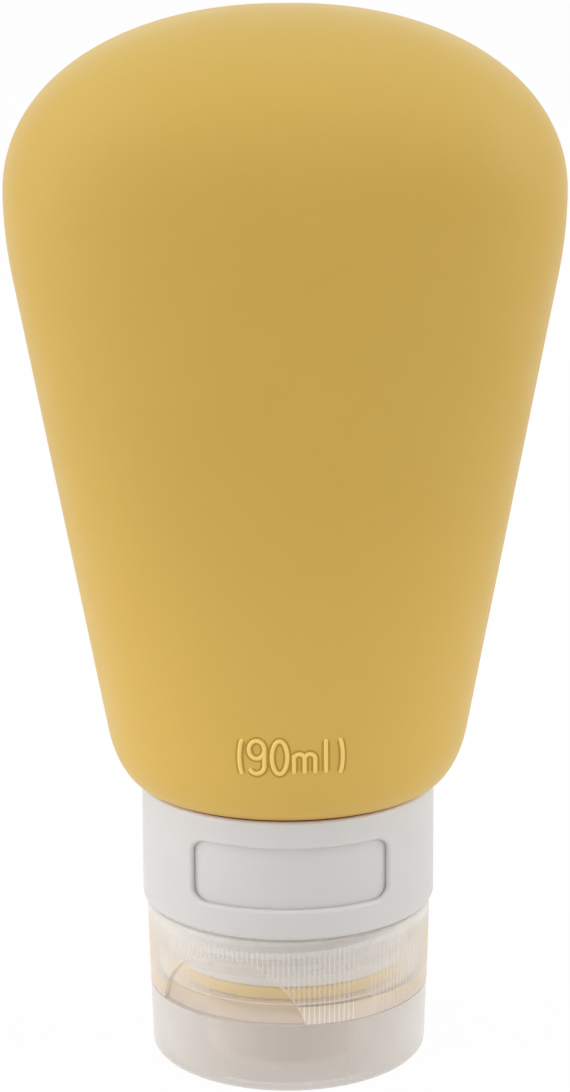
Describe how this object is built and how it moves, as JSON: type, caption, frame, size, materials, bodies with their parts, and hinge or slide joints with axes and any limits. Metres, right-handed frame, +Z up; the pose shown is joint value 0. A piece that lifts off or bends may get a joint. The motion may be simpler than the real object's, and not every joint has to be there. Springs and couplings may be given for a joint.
{
  "type": "travel silicone bottle",
  "caption": "Soft silicone travel squeeze bottle, oval and flared, standing on a clear ribbed flip-top screw cap under a white turning collar with a window.",
  "frame": {"origin": "middle of the lid's flat outer face, which the bottle stands on", "axes": "+Z up along the bottle, -Y towards the collar's window, X across the body's wide side"},
  "size_m": [0.0593, 0.0372, 0.1159],
  "materials": {
    "silicone": "matte mustard-yellow silicone with a soft sheen",
    "white_plastic": "satin white polypropylene",
    "clear_plastic": "slightly cloudy clear polypropylene",
    "valve_silicone": "thin milky silicone"
  },
  "bodies": {
    "cap": {"cap_base": "clear_plastic", "drip_valve": "valve_silicone", "valve_retainer": "clear_plastic", "lid_hinge": "clear_plastic"},
    "lid": {"flip_lid": "clear_plastic"},
    "carrier": {"label_ring": "white_plastic"},
    "bottle": {"bottle_body": "silicone", "neck_ring": "white_plastic"},
    "collar": {"window_collar": "white_plastic"}
  },
  "joints": [
    {"name": "lid_flip", "type": "hinge", "parent": "cap", "child": "lid", "pos_m": [0.00747, 0.01348, 0.00857], "axis": [0.8746, -0.4848, 0], "range_deg": [0, 180], "deforming": ["lid_hinge"]},
    {"name": "bottle_lift", "type": "slide", "parent": "cap", "child": "carrier", "axis": [0, 0, 1], "range_m": [0, 0.00881]},
    {"name": "bottle_turn", "type": "hinge", "parent": "carrier", "child": "bottle", "pos_m": [0, 0, 0.0153], "axis": [0, 0, 1], "range_deg": [0, 990]},
    {"name": "collar_turn", "type": "hinge", "parent": "bottle", "child": "collar", "pos_m": [0, 0, 0.02508], "axis": [0, 0, 1], "continuous": true}
  ],
  "couplings": [
    {"joint": "bottle_lift", "follows": "bottle_turn", "m_per_rad": 0.0005093}
  ]
}
